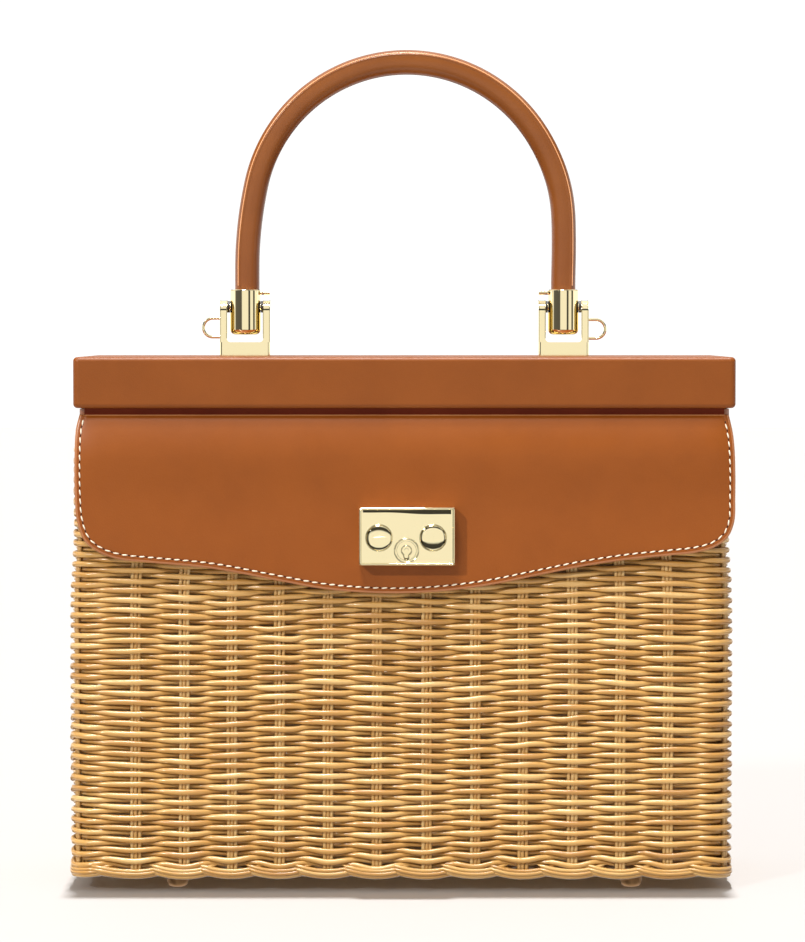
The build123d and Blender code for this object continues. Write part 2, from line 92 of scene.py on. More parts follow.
def ring_faces(n, m, closed):
    """Quads of a tube of n rings with m points each."""
    i = np.arange(n if closed else n - 1)[:, None]
    j = np.arange(m)[None, :]
    a = i * m + j
    b = i * m + (j + 1) % m
    c = ((i + 1) % n) * m + (j + 1) % m
    d = ((i + 1) % n) * m + j
    return np.stack([a, b, c, d], -1).reshape(-1, 4)


def tube(path, out, up, ro, ru, m=8, closed=False, u0=0.0, tint=0.5, bag=None, taper=False):
    """Tube with an elliptical section: ro along out, ru along up; all arrays per path point."""
    path = np.asarray(path, float)
    n = len(path)
    ro, ru = np.broadcast_to(ro, n).astype(float), np.broadcast_to(ru, n).astype(float)
    if taper:
        e = np.ones(n)
        e[0] = e[-1] = 0.08
        e[1] = e[-2] = 0.72
        ro, ru = ro * e, ru * e
    a = np.arange(m) * 2 * math.pi / m
    v = path[:, None] + (out * ro[:, None])[:, None] * np.cos(a)[None, :, None] + (up * ru[:, None])[:, None] * np.sin(a)[None, :, None]
    d = np.linalg.norm(np.diff(path, axis=0), axis=1)
    s = np.concatenate([[0], np.cumsum(d)]) + u0
    uv = np.stack([np.repeat(s, m) * MM, np.tile(a / (2 * math.pi), n)], -1)
    t = np.repeat(np.broadcast_to(tint, n), m)
    bag.add(v.reshape(-1, 3), ring_faces(n, m, closed), uv, t)


def smooth_noise(seed, n=6, lo=40.0, hi=220.0):
    r = np.random.default_rng(seed)
    k = r.normal(size=(n, 2))
    k = k / np.linalg.norm(k, axis=1)[:, None] / r.uniform(lo, hi, n)[:, None]
    p = r.uniform(0, 2 * math.pi, n)
    return lambda a, b: sum(np.sin(2 * math.pi * (k[i, 0] * a + k[i, 1] * b) + p[i]) for i in range(n)) / math.sqrt(n)


# ------------------------------------------------------------------ material helpers
def srgb(r, g, b):
    f = lambda c: (c / 255 / 12.92) if c / 255 <= 0.04045 else ((c / 255 + 0.055) / 1.055) ** 2.4
    return (f(r), f(g), f(b), 1.0)


class Mat:
    def __init__(self, name):
        self.m = bpy.data.materials.new(name)
        self.m.use_nodes = True
        self.t = self.m.node_tree
        self.b = self.t.nodes["Principled BSDF"]

    def n(self, kind, **inputs):
        node = self.t.nodes.new(kind)
        for k, v in inputs.items():
            node.inputs[k.replace("_", " ")].default_value = v
        return node

    def link(self, a, b):
        self.t.links.new(a, b)

    def set(self, **kw):
        for k, v in kw.items():
            self.b.inputs[k.replace("_", " ")].default_value = v

    def coords(self, scale=(1, 1, 1), uv=False):
        tc = self.n("ShaderNodeTexCoord")
        mp = self.n("ShaderNodeMapping")
        mp.inputs["Scale"].default_value = scale
        self.link(tc.outputs["UV" if uv else "Object"], mp.inputs["Vector"])
        return mp.outputs["Vector"]

    def noise(self, vec, scale, detail=3.0, rough=0.5):
        nz = self.n("ShaderNodeTexNoise", Scale=scale, Detail=detail, Roughness=rough)
        self.link(vec, nz.inputs["Vector"])
        return nz.outputs["Fac"]

    def ramp(self, fac, stops):
        r = self.n("ShaderNodeValToRGB")
        e = r.color_ramp.elements
        while len(e) < len(stops):
            e.new(0.5)
        for el, (p, c) in zip(e, stops):
            el.position, el.color = p, c
        self.link(fac, r.inputs["Fac"])
        return r.outputs["Color"]

    def mathn(self, op, a, b):
        x = self.n("ShaderNodeMath")
        x.operation = op
        for i, v in enumerate((a, b)):
            if isinstance(v, (int, float)):
                x.inputs[i].default_value = v
            else:
                self.link(v, x.inputs[i])
        return x.outputs[0]

    def mix(self, fac, a, b, mode="MIX"):
        x = self.n("ShaderNodeMix")
        x.data_type = "RGBA"
        x.blend_type = mode
        for sock, v in ((x.inputs[0], fac), (x.inputs[6], a), (x.inputs[7], b)):
            if isinstance(v, (int, float, tuple)):
                sock.default_value = v
            else:
                self.link(v, sock)
        return x.outputs[2]

    def bump(self, height, dist, strength=1.0, normal=None):
        x = self.n("ShaderNodeBump", Strength=strength, Distance=dist)
        self.link(height, x.inputs["Height"])
        if normal is not None:
            self.link(normal, x.inputs["Normal"])
        return x.outputs["Normal"]


def leather(name, base, dark, light, rough=0.36, spec=0.5):
    """Smooth vegetable-tanned calf: clouded colour, fine pores and a soft polish."""
    m = Mat(name)
    co = m.coords()
    cloud = m.noise(co, 34.0, 5.0, 0.6)
    col = m.ramp(cloud, [(0.25, dark), (0.5, base), (0.78, light)])
    fleck = m.noise(co, 900.0, 2.0, 0.6)
    col = m.mix(m.mathn("MULTIPLY", fleck, 0.16), col, dark)
    m.link(col, m.b.inputs["Base Color"])
    vor = m.n("ShaderNodeTexVoronoi", Scale=1500.0)
    m.link(co, vor.inputs["Vector"])
    n1 = m.bump(vor.outputs["Distance"], 0.00006, 0.35)
    n2 = m.bump(m.noise(co, 160.0, 3.0), 0.00018, 0.25, n1)
    m.link(n2, m.b.inputs["Normal"])
    r = m.mathn("ADD", m.mathn("MULTIPLY", m.noise(co, 60.0, 3.0), 0.14), rough - 0.07)
    m.link(r, m.b.inputs["Roughness"])
    m.set(**{"Specular IOR Level": spec})
    return m.m


def cane(name, pale=0.0, gloss=0.30, wax=0.55):
    """Split cane: colour by strand, lengthwise grain, golden streaks, a waxy shine."""
    m = Mat(name)
    long = m.coords((60.0, 6.0, 1.0), uv=True)
    fine = m.coords((170.0, 26.0, 1.0), uv=True)
    at = m.n("ShaderNodeAttribute")
    at.attribute_name = "tint"
    t = m.mathn("ADD", m.mathn("MULTIPLY", m.noise(long, 1.0, 3.0), 0.45), m.mathn("MULTIPLY", at.outputs["Fac"], 0.6))
    t = m.mathn("ADD", t, pale)
    col = m.ramp(t, [(0.22, srgb(154, 104, 48)), (0.42, srgb(185, 136, 66)), (0.58, srgb(203, 158, 88)), (0.8, srgb(222, 188, 126))])
    streak = m.ramp(m.noise(fine, 1.0, 4.0, 0.6), [(0.55, (0, 0, 0, 1)), (0.72, (1, 1, 1, 1))])
    col = m.mix(m.mathn("MULTIPLY", streak, 0.32), col, srgb(194, 128, 50))
    spots = m.ramp(m.noise(m.coords((1, 1, 1)), 700.0, 2.0), [(0.70, (0, 0, 0, 1)), (0.76, (1, 1, 1, 1))])
    col = m.mix(m.mathn("MULTIPLY", spots, 0.4), col, srgb(122, 74, 34))
    m.link(col, m.b.inputs["Base Color"])
    m.link(m.bump(m.noise(fine, 1.0, 4.0), 0.00016, 0.5), m.b.inputs["Normal"])
    m.link(m.mathn("ADD", m.mathn("MULTIPLY", m.noise(long, 2.0), 0.16), gloss - 0.06), m.b.inputs["Roughness"])
    m.set(**{"Specular IOR Level": 0.6, "Coat Weight": wax, "Coat Roughness": 0.16})
    return m.m


def metal(name, col, rough=0.07, scuff=0.05):
    m = Mat(name)
    co = m.coords()
    m.link(m.mix(m.mathn("MULTIPLY", m.noise(co, 90.0, 2.0), 0.25), col, tuple(c * 0.93 for c in col[:3]) + (1.0,)), m.b.inputs["Base Color"])
    m.link(m.mathn("ADD", m.mathn("MULTIPLY", m.noise(co, 500.0, 3.0), scuff), rough - scuff * 0.4), m.b.inputs["Roughness"])
    m.set(Metallic=1.0)
    return m.m


def wood(name):
    m = Mat(name)
    co = m.coords((8.0, 120.0, 120.0))
    col = m.ramp(m.noise(co, 1.0, 5.0, 0.6), [(0.35, srgb(170, 126, 78)), (0.62, srgb(206, 166, 116))])
    m.link(col, m.b.inputs["Base Color"])
    m.link(m.bump(m.noise(co, 2.0, 4.0), 0.0002, 0.4), m.b.inputs["Normal"])
    m.set(Roughness=0.6)
    return m.m


def fabric(name, base, dark):
    """Plain-woven lining cloth from two crossed sets of fine ribs."""
    m = Mat(name)
    co = m.coords()
    sep = m.n("ShaderNodeSeparateXYZ")
    m.link(co, sep.inputs[0])
    k = 2 * math.pi / 0.0007
    a = m.mathn("SINE", m.mathn("MULTIPLY", m.mathn("ADD", sep.outputs[0], sep.outputs[1]), k), 0.0)
    b = m.mathn("SINE", m.mathn("MULTIPLY", m.mathn("ADD", sep.outputs[2], m.mathn("MULTIPLY", sep.outputs[1], 0.5)), k), 0.0)
    h = m.mathn("ADD", m.mathn("MULTIPLY", m.mathn("MULTIPLY", a, b), 0.5), 0.5)
    m.link(m.mix(m.mathn("MULTIPLY", h, 0.6), base, dark), m.b.inputs["Base Color"])
    m.link(m.bump(h, 0.00012, 0.6), m.b.inputs["Normal"])
    m.set(Roughness=0.85, **{"Sheen Weight": 0.25, "Specular IOR Level": 0.2})
    return m.m


def simple(name, col, rough, freq, amount=0.3, bump=0.0001):
    m = Mat(name)
    co = m.coords()
    nz = m.noise(co, freq, 3.0)
    m.link(m.mix(m.mathn("MULTIPLY", nz, amount), col, tuple(c * 0.55 for c in col[:3]) + (1.0,)), m.b.inputs["Base Color"])
    m.link(m.bump(nz, bump, 0.5), m.b.inputs["Normal"])
    m.set(Roughness=rough)
    return m.m


TAN = leather("tan_calf", srgb(137, 71, 15), srgb(131, 67, 13), srgb(143, 75, 17), 0.42, 0.3)
LIDL = leather("lid_calf", srgb(129, 67, 15), srgb(123, 63, 13), srgb(135, 71, 17), 0.42, 0.3)
GRIP = leather("handle_calf", srgb(128, 70, 18), srgb(120, 64, 15), srgb(136, 76, 21), 0.32, 0.5)
# the pale peach of the shoulder bead is a painted highlight, not the leather's own colour
CREASE_HIGHLIGHT = leather("painted_highlight_crease", srgb(226, 162, 112), srgb(214, 148, 98), srgb(238, 178, 130), 0.25, 0.7)
EDGE = leather("painted_edge", srgb(170, 110, 68), srgb(160, 101, 61), srgb(180, 120, 77), 0.3)
# the strip's dark red-brown is painted shade of the gap between lid and flap
GAP_SHADE = leather("painted_shade_gusset", srgb(104, 34, 6), srgb(94, 29, 5), srgb(114, 40, 8), 0.6, 0.15)
BACKL = leather("flap_back_suede", srgb(176, 120, 74), srgb(158, 104, 62), srgb(190, 134, 88), 0.8, 0.2)
CANE = cane("cane_weavers")
STAKE = cane("cane_stakes", 0.10, 0.42, 0.2)
GOLD = metal("polished_gold", srgb(248, 234, 190), 0.045, 0.03)
# the feet are the brass fittings darkened into painted shade, with a satin roughness
FOOT_SHADED = metal("satin_foot_painted_shade", srgb(160, 122, 84), 0.5, 0.1)
STEEL = metal("plain_steel", srgb(180, 180, 182), 0.32, 0.12)
WASHER = simple("dark_washer", srgb(46, 42, 40), 0.45, 600.0)
WOOD = wood("beech_frame")
CLOTH = fabric("lining_cloth", srgb(198, 172, 138), srgb(150, 124, 92))
THREAD = simple("waxed_thread", srgb(247, 236, 212), 0.55, 2500.0, 0.35, 0.0001)
# near-black discs at the stitch holes: painted shade of the holes
HOLE_SHADE = simple("needle_hole_shade", srgb(52, 22, 9), 0.9, 500.0)

SLOTTED = {
    TAN: ("rim_cover",),
    LIDL: ("lid_cover",),
    WOOD: ("rim_frame", "lid_board", "handle_core", "base_board"),
    FOOT_SHADED: ("feet",),
    GOLD: ("catch_plate", "catch_stud", "catch_rivets", "hinge_basket_leaves", "hinge_pins", "hinge_screws_basket",
           "hinge_lid_leaves", "hinge_screws_lid", "bracket_left", "bracket_right", "pivot_pin_left", "pivot_pin_right",
           "strap_loop_left", "strap_loop_right", "ferrule_left", "ferrule_right", "keeper_pins", "lock_case", "key_pin",
           "left_button", "right_button", "lock_back_plate", "key_cam", "lock_inner_plate"),
    STEEL: ("foot_nuts", "bracket_screws", "lock_screws", "left_button_spring",
            "right_button_spring", "left_latch_jaw", "right_latch_jaw"),
    WASHER: ("pivot_washers",),
}
for mat, names in SLOTTED.items():
    for nm in names:
        me = N[nm].data
        me.materials.clear()
        me.materials.append(mat)

# ------------------------------------------------------------------ the weave
TOP, BOT, TAN_T = 195.8, 10.5, math.tan(math.radians(0.69))
DEEP = 2.95         # middle of the wall, in from its outer face
COLS = [-114.4, -93.7, -73.4, -53.1, -32.5, -11.7, 9.5, 30.2, 50.5, 71.6, 91.9, 112.2]
NCOL = 36


def lean(z):
    """The hand-woven body stands a little to the left."""
    return -1.3


SHIFT = 4.2         # the corner stakes stand round the corner, on the side


def plan(z, deep=DEEP):
    g = (TOP - z) * TAN_T
    t = np.clip((z - 120.0) / 38.0, 0, 1)
    hx = 142.0 - 1.7 * t * t * (3 - 2 * t) - 1.6 * np.clip((z - 184.0) / 12.0, 0, 1) ** 2
    return hx - deep, -48.3 - g + deep, 53.7 + g - deep, 11.0 + g - deep


def col_s(z, deep=DEEP):
    """Arc length of each column, from the left front corner, going right along the front."""
    hx, yf, yb, r = plan(z, deep)
    q, fx, fy = math.pi / 4 * r, 2 * (hx - r), yb - yf - 2 * r
    k = hx / plan(100.0, deep)[0]
    s = [-SHIFT] + [q + (c - lean(z)) * k + hx - r for c in COLS]
    c1 = 2 * q + fx + SHIFT
    s.append(c1)
    s += [c1 + (2 * q + fy - 2 * SHIFT) * (i + 1) / 5 for i in range(4)]
    c2 = c1 + 2 * q + fy - 2 * SHIFT
    s.append(c2)
    s += [c2 + SHIFT + q + (hx - r) - (c - lean(z)) * k for c in COLS[::-1]]
    c3 = c2 + 2 * q + fx + 2 * SHIFT
    s.append(c3)
    s += [c3 + (2 * q + fy - 2 * SHIFT) * (i + 1) / 5 for i in range(4)]
    s.append(c3 + 2 * q + fy - 2 * SHIFT)
    return np.array(s)


def on_plan(s, z, deep=DEEP):
    """Point and outward direction on the rounded plan."""
    hx, yf, yb, r = plan(z, deep)
    q, fx, fy = math.pi / 2 * r, 2 * (hx - r), yb - yf - 2 * r
    per = 4 * q + 2 * fx + 2 * fy
    s = np.mod(np.asarray(s, float) + q / 2, per)
    x, y, nx, ny = (np.zeros_like(s) for _ in range(4))
    b = 0.0
    corner = [(-hx + r, yf + r, math.pi), (hx - r, yf + r, 1.5 * math.pi), (hx - r, yb - r, 0.0), (-hx + r, yb - r, 0.5 * math.pi)]
    side = [((-hx + r, yf), (1, 0), (0, -1), fx), ((hx, yf + r), (0, 1), (1, 0), fy), ((hx - r, yb), (-1, 0), (0, 1), fx), ((-hx, yb - r), (0, -1), (-1, 0), fy)]
    for (cx, cy, a0), (p, d, nn, ln) in zip(corner, side):
        m = (s >= b) & (s < b + q)
        a = a0 + (s - b) / r
        x[m], y[m], nx[m], ny[m] = (cx + r * np.cos(a))[m], (cy + r * np.sin(a))[m], np.cos(a)[m], np.sin(a)[m]
        b += q
        m = (s >= b) & (s < b + ln + 1e-6)
        x[m], y[m] = (p[0] + d[0] * (s - b))[m], (p[1] + d[1] * (s - b))[m]
        nx[m], ny[m] = nn
        b += ln
    return x + lean(z), y, nx, ny


PITCH = 2.2
N_ROWS = 84
SEG = 8
field = smooth_noise(11)
AMP = 1.74


def droop(z):
    return 1.75 * math.exp(-max(z - 11.0, 0) / 8.0)


def weave_rows(first, last):
    bag = Bag()
    tt = np.arange(NCOL * SEG) / SEG
    for i in range(first, last):
        z0 = BOT + 1.3 + (i + 0.0) * PITCH
        s = np.interp(tt, np.arange(NCOL + 1), col_s(z0))
        sign = 1 if i % 2 == 0 else -1
        c = np.cos(math.pi * tt) * sign
        e = (c + 0.16) / np.where(c > -0.16, 1.16, 0.84)     # a weaver stays out a little longer than in
        d = AMP * np.sign(e) * np.abs(e) ** 0.74
        fl = np.floor((tt + (0 if i % 2 else 1)) / 2).astype(int) % (NCOL // 2)
        jz = np.clip(rng.normal(0, 0.24, NCOL // 2), -0.5, 0.5)
        js = rng.normal(0, 0.26, NCOL // 2)
        jt = rng.uniform(-0.2, 0.2, NCOL // 2)
        thick = 1 + np.clip(rng.normal(0, 0.075, NCOL // 2), -0.16, 0.16)
        out_w = np.clip(c, 0, 1) ** 0.6
        z = z0 + 0.72 * field(s, z0) + jz[fl] * out_w + js[fl] * np.sin(math.pi * tt) * sign * np.clip(c, 0, 1) - droop(z0) * (0.5 + 0.5 * np.cos(2 * math.pi * tt)) + droop(z0) * 0.4
        z = np.clip(z, 8.6, TOP - 1.0)
        th = 1 + (thick[fl] - 1) * out_w
        x, y, nx, ny = on_plan(s, z0)
        out = np.stack([nx, ny, np.zeros_like(nx)], -1)
        path = np.stack([x, y, z], -1) + out * d[:, None]
        up = np.tile([0.0, 0.0, 1.0], (len(x), 1))
        tint = np.clip(0.5 + rng.uniform(-0.16, 0.16) + jt[fl] * out_w, 0, 1)
        tube(path, out, up, 1.08 * th, (0.98 + 0.30 * np.clip(e, 0, 1) ** 0.7) * th, 8, True, rng.uniform(0, 900), tint, bag)
    return bag


for k, (a, b) in enumerate(((0, 28), (28, 56), (56, N_ROWS))):
    ob = weave_rows(a, b).build("weave_rows_%d" % (k + 1), CANE)
    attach(ob, "basket")
    if k == 0:
        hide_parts("wicker_wall")

# stakes: three upright canes at each place, the weavers pass in front of and behind them
bag = Bag()
zs = np.linspace(9.0, TOP - 0.3, 30)
for k in range(NCOL):
    for e in (-1, 0, 1):
        wob, ph = rng.uniform(0.05, 0.2), rng.uniform(0, 6)
        pts, outs = [], []
        for z in zs:
            hx_s = col_s(z)[k] + e * 1.55 + wob * math.sin(z / 17.0 + ph)
            x, y, nx, ny = on_plan(np.array([hx_s]), z)
            pts.append((x[0], y[0], z))
            outs.append((nx[0], ny[0], 0))
        outs = np.array(outs)
        side = np.cross(outs, [0, 0, 1.0])
        tube(np.array(pts), outs, side, 0.78, 0.8, 8, False, rng.uniform(0, 900), rng.uniform(0.4, 0.8), bag)
stakes = bag.build("weave_stakes", STAKE)
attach(stakes, "basket")

# rolled border: at each column strands hang in a shallow arc and dive behind the next ones
bag = Bag()
for k in range(NCOL):
    for j, (dz, dep, rad) in enumerate(((0.0, -0.3, 0.98), (1.25, 0.3, 0.95), (2.6, 0.25, 0.9), (0.5, -2.4, 1.1), (0.2, -4.4, 1.1))):
        t = np.linspace(-0.72, 0.72, 19)
        s = np.interp((k + t) % NCOL, np.arange(NCOL + 1), col_s(10.5))
        u = t / 0.72
        z = 6.3 + dz + 6.4 * (1 - np.cos(u * 1.12)) * (0.72 if j < 3 else 0.3) + rng.normal(0, 0.1)
        d = DEEP - 1.15 + dep - 2.6 * np.clip(u, 0, 1) ** 2.0 + 0.35 * np.clip(-u, 0, 1) - 1.1 * np.clip(-u, 0, 1) ** 4
        x, y, nx, ny = on_plan(s, 10.5)
        out = np.stack([nx, ny, np.zeros_like(nx)], -1)
        tube(np.stack([x, y, z], -1) + out * d[:, None], out, np.tile([0.0, 0.0, 1.0], (19, 1)), rad, rad, 8, False,
             rng.uniform(0, 900), rng.uniform(0.3, 0.7), bag, taper=True)
border = bag.build("weave_border", CANE)
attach(border, "basket")
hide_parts("wicker_border")

# woven base panel, seen from below: flat canes across, weavers along
bag = Bag()
bhx, byf, byb = 133.6, -43.6, 49.0
for c in COLS:
    for e in (-1.3, 1.3):
        yy = np.linspace(byf, byb, 12)
        p = np.stack([np.full(12, c + e), yy, np.full(12, 8.75)], -1)
        tube(p, np.tile([1.0, 0, 0], (12, 1)), np.tile([0, 0, 1.0], (12, 1)), 1.1, 0.5, 6, False, rng.uniform(0, 900), 0.6, bag)
rows = int((byb - byf) / 2.5)
edges = [-bhx] + COLS + [bhx]
for i in range(rows):
    tt = np.arange(0, 13 * 6 + 1) / 6.0
    x = np.interp(tt, np.arange(14), edges)
    c = np.cos(math.pi * tt) * (1 if i % 2 else -1)
    z = 8.75 - 0.72 * c
    yv = byf + 1.3 + i * 2.5 + 0.25 * np.sin(x / 31 + i)
    p = np.stack([x, np.broadcast_to(yv, x.shape), z], -1)
    tube(p, np.tile([0, 1.0, 0], (len(x), 1)), np.tile([0, 0, 1.0], (len(x), 1)), 1.22, 0.78, 6, False, rng.uniform(0, 900), rng.uniform(0.35, 0.7), bag)
base = bag.build("weave_base", CANE)
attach(base, "basket")
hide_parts("wicker_base")

# ------------------------------------------------------------------ the flap
FLAP_L = [(-137.6, 204.0), (-139.0, 197.0), (-139.5, 186.0), (-139.5, 171.0), (-138.6, 158.5), (-135.4, 149.8), (-129.4, 144.9), (-121.0, 142.0), (-108.0, 140.6), (-81.3, 138.0), (-53.8, 132.9), (-35.5, 129.6), (-17.1, 127.9), (0.0, 127.6)]
FLAP_R = [(17.6, 128.6), (37.0, 131.2), (56.3, 135.1), (75.8, 139.0), (95.2, 141.9), (112.0, 143.6), (123.0, 144.8), (131.4, 147.2), (136.9, 151.4), (139.6, 158.0), (140.0, 168.0), (140.0, 180.0), (139.3, 193.0), (137.4, 204.0)]


def catmull(pts, per=24):
    p = np.array(pts, float)
    p = np.vstack([2 * p[0] - p[1], p, 2 * p[-1] - p[-2]])
    out = []
    for i in range(1, len(p) - 2):
        p0, p1, p2, p3 = p[i - 1:i + 3]
        d = [max(np.linalg.norm(b - a) ** 0.5, 1e-6) for a, b in ((p0, p1), (p1, p2), (p2, p3))]
        m1 = (p1 - p0) / d[0] - (p2 - p0) / (d[0] + d[1]) + (p2 - p1) / d[1]
        m2 = (p2 - p1) / d[1] - (p3 - p1) / (d[1] + d[2]) + (p3 - p2) / d[2]
        m1, m2 = m1 * d[1], m2 * d[1]
        for t in np.arange(per) / per:
            out.append((2 * t ** 3 - 3 * t ** 2 + 1) * p1 + (t ** 3 - 2 * t ** 2 + t) * m1 + (-2 * t ** 3 + 3 * t ** 2) * p2 + (t ** 3 - t ** 2) * m2)
    out.append(p[-2])
    return np.array(out)


OUT = catmull(FLAP_L + FLAP_R)
OUT[:, 1] = np.where(OUT[:, 1] > 198, 198 + (OUT[:, 1] - 198) * 0.89, OUT[:, 1])     # the top rolls over, a little lower


def inset(e):
    """The outline moved inwards by e."""
    t = np.gradient(OUT, axis=0)
    t /= np.linalg.norm(t, axis=1)[:, None]
    return OUT + np.stack([-t[:, 1], t[:, 0]], -1) * e


def resample(line, n):
    d = np.concatenate([[0], np.cumsum(np.linalg.norm(np.diff(line, axis=0), axis=1))])
    q = np.linspace(0, d[-1], n)
    return np.stack([np.interp(q, d, line[:, k]) for k in (0, 1)], -1)


NU, NV = 150, 44
iL = 24 * 5        # outline index of the left lower corner, and of the right one
iR = len(OUT) - 1 - 24 * 5
FTOP = 205.0


def four_sides(e):
    o = inset(e)
    left, bottom, right = resample(o[:iL + 1], NV + 1), resample(o[iL:iR + 1], NU + 1), resample(o[iR:], NV + 1)
    return left, bottom, right


def flap_back(x, z, limit=3.3):
    """How far the flap's face lies behind its flat plane: it rolls back at the top and swells a little."""
    roll = np.clip(z - 184.0, 0, None) ** 2 / 120.0 + np.clip(z - 201.4, 0, None) ** 2 / 5.0
    swell = 1.25 * np.exp(-((z - 187.0) / 15.0) ** 2) * (1 - np.exp(-((np.abs(x) - 141.5) / 7.0) ** 2))
    side = 0.5 * np.exp(-((141.0 - np.abs(x)) / 2.6)) * np.clip((z - 160) / 20, 0, 1)
    return np.minimum(roll, limit) - swell + side


def coons(e):
    left, bottom, right = four_sides(e)
    top = np.stack([np.linspace(left[0, 0], right[-1, 0], NU + 1), np.full(NU + 1, left[0, 1])], -1)
    L, R = left[::-1], right                    # both from the bottom up
    u = np.linspace(0, 1, NU + 1)[:, None, None]
    v = np.linspace(0, 1, NV + 1)[None, :, None]
    return ((1 - v) * bottom[:, None] + v * top[:, None] + (1 - u) * L[None] + u * R[None]
            - ((1 - u) * (1 - v) * bottom[0] + u * (1 - v) * bottom[-1] + (1 - u) * v * top[0] + u * v * top[-1]))


def border_loop(e):
    """Left side down, bottom to the right, right side up."""
    left, bottom, right = four_sides(e)
    return np.concatenate([left, bottom[1:], right[1:]])


def flap_sheet(name, y_front, y_back, rings, mat, edge_mat, cut, limit=3.3):
    """Closed sheet; rings are (inset, depth behind the front face) of the rounded edge; cut is the lock's window."""
    verts, faces, mats = [], [], []
    hole, idxs = set(), []
    prev = None
    loops = []
    for e, dep in rings:
        lp = border_loop(e)
        loops.append(len(verts))
        bk = flap_back(lp[:, 0], lp[:, 1], limit)
        verts += [(x, y_front + dep + b, z) for (x, z), b in zip(lp, bk)]
    n = len(lp)
    for a, b in zip(loops[:-1], loops[1:]):
        for i in range(n - 1):
            faces.append((a + i, a + i + 1, b + i + 1, b + i))
            mats.append(1 if rings[loops.index(a)][0] < 0.8 else 0)
    for sgn, y0, start, flip in ((0, y_front, loops[-1], False), (1, y_back, None, True)):
        e = rings[-1][0] if sgn == 0 else rings[0][0]
        g = coons(e)
        idx = np.zeros((NU + 1, NV + 1), int)
        for i in range(NU + 1):
            for j in range(NV + 1):
                onl, onb, onr = i == 0, j == 0, i == NU
                k = NV - j if onl else (NV + i if onb else (NV + NU + j if onr else None))
                if k is not None:
                    idx[i, j] = (loops[-1] if sgn == 0 else loops[0]) + k
                else:
                    idx[i, j] = len(verts)
                    x, z = g[i, j]
                    verts.append((x, y0 + float(flap_back(x, z, limit)), z))
        idxs.append(idx)
        for i in range(NU):
            for j in range(NV):
                c = g[i:i + 2, j:j + 2].mean((0, 1))
                if sgn == 0 and cut and abs(c[0] - 1.1) < cut[0] and abs(c[1] - 152.15) < cut[1]:
                    hole.add((i, j))
                if (i, j) in hole:
                    continue
                q = (idx[i, j], idx[i + 1, j], idx[i + 1, j + 1], idx[i, j + 1])
                faces.append(q[::-1] if flip else q)
                mats.append(0)
        if sgn == 0:
            top_front = [idx[i, NV] for i in range(NU + 1)]
        else:
            top_back = [idx[i, NV] for i in range(NU + 1)]
    for i in range(NU):
        faces.append((top_front[i], top_front[i + 1], top_back[i + 1], top_back[i]))
        mats.append(0)
    for i, j in sorted(hole):
        ring = [(i, j), (i + 1, j), (i + 1, j + 1), (i, j + 1)]
        for k, (di, dj) in enumerate(((0, -1), (1, 0), (0, 1), (-1, 0))):
            if (i + di, j + dj) not in hole:
                a, b = ring[k], ring[(k + 1) % 4]
                faces.append((idxs[0][a], idxs[0][b], idxs[1][b], idxs[1][a]))
                mats.append(0)
    a0 = [l + 0 for l in loops]
    a1 = [l + n - 1 for l in loops]
    faces.append(tuple(a0[::-1]))
    faces.append(tuple(a1))
    mats += [0, 0]
    used = sorted({int(k) for f in faces for k in f})
    new = {k: n_ for n_, k in enumerate(used)}
    ob = make_mesh(name, [verts[k] for k in used], [tuple(new[int(k)] for k in f) for f in faces], mat)
    ob.data.materials.append(edge_mat)
    if len(ob.data.polygons) == len(mats):
        ob.data.polygons.foreach_set("material_index", mats)
    return ob


flap = flap_sheet("flap_face", -53.2, -51.65,
                  [(0.05, 1.5), (0.0, 1.2), (0.0, 0.55), (0.14, 0.26), (0.45, 0.08), (0.95, 0.0), (1.5, 0.0), (1.95, 0.04), (2.3, 0.16), (2.65, 0.04), (3.2, 0.0)],
                  TAN, EDGE, (15.9, 9.9))
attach(flap, "flap")
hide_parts("flap_leather")
back = flap_sheet("flap_back", -51.6, -50.7, [(0.35, 0.85), (0.3, 0.5), (0.3, 0.05), (0.6, 0.0), (1.2, 0.0)], BACKL, BACKL, (15.9, 9.9), 1.9)
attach(back, "flap")
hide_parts("flap_lining")

# stitches, each a short waxed thread sinking into its holes; each hole is a dark flat ellipsoid on the surface, painted
# shade
line = inset(2.3)
d = np.concatenate([[0], np.cumsum(np.linalg.norm(np.diff(line, axis=0), axis=1))])
bag, hole_shades = Bag(), Bag()
at = lambda q: np.array([np.interp(q, d, line[:, 0]), np.interp(q, d, line[:, 1])])
q = 1.2
while q < d[-1] - 3.5:
    a, b = at(q + 0.45), at(q + 0.45 + 2.8)
    t = (b - a) / np.linalg.norm(b - a)
    nn = np.array([-t[1], t[0]])
    u = np.linspace(0, 1, 7)
    p2 = a[None] + (b - a)[None] * u[:, None] + nn[None] * ((u - 0.5) * 0.34)[:, None]
    y = -53.2 + flap_back(p2[:, 0], p2[:, 1]) + 0.30 - 0.42 * np.sin(math.pi * u) ** 0.55
    p3 = np.stack([p2[:, 0], y, p2[:, 1]], -1)
    tube(p3, np.tile([0.0, -1.0, 0.0], (7, 1)), np.tile([nn[0], 0.0, nn[1]], (7, 1)), 0.26, 0.33, 6, False, 0.0, 0.5, bag, taper=True)
    h = at(q + 0.45 + 3.25)
    yb_ = -53.2 + float(flap_back(h[0], h[1])) + 0.16
    p = np.array([(h[0], yb_ - dy, h[1]) for dy in (-0.3, 0.1, 0.2, 0.235)])
    tube(p, np.tile([t[0], 0.0, t[1]], (4, 1)), np.tile([nn[0], 0.0, nn[1]], (4, 1)), np.array([0.52, 0.52, 0.42, 0.02]), np.array([0.3, 0.3, 0.22, 0.02]), 10, False, 0.0, 0.5, hole_shades)
    q += 3.7
st = bag.build("flap_stitches", THREAD)
ho = hole_shades.build("flap_stitch_hole_shades", HOLE_SHADE)
for o in (st, ho):
    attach(o, "flap")

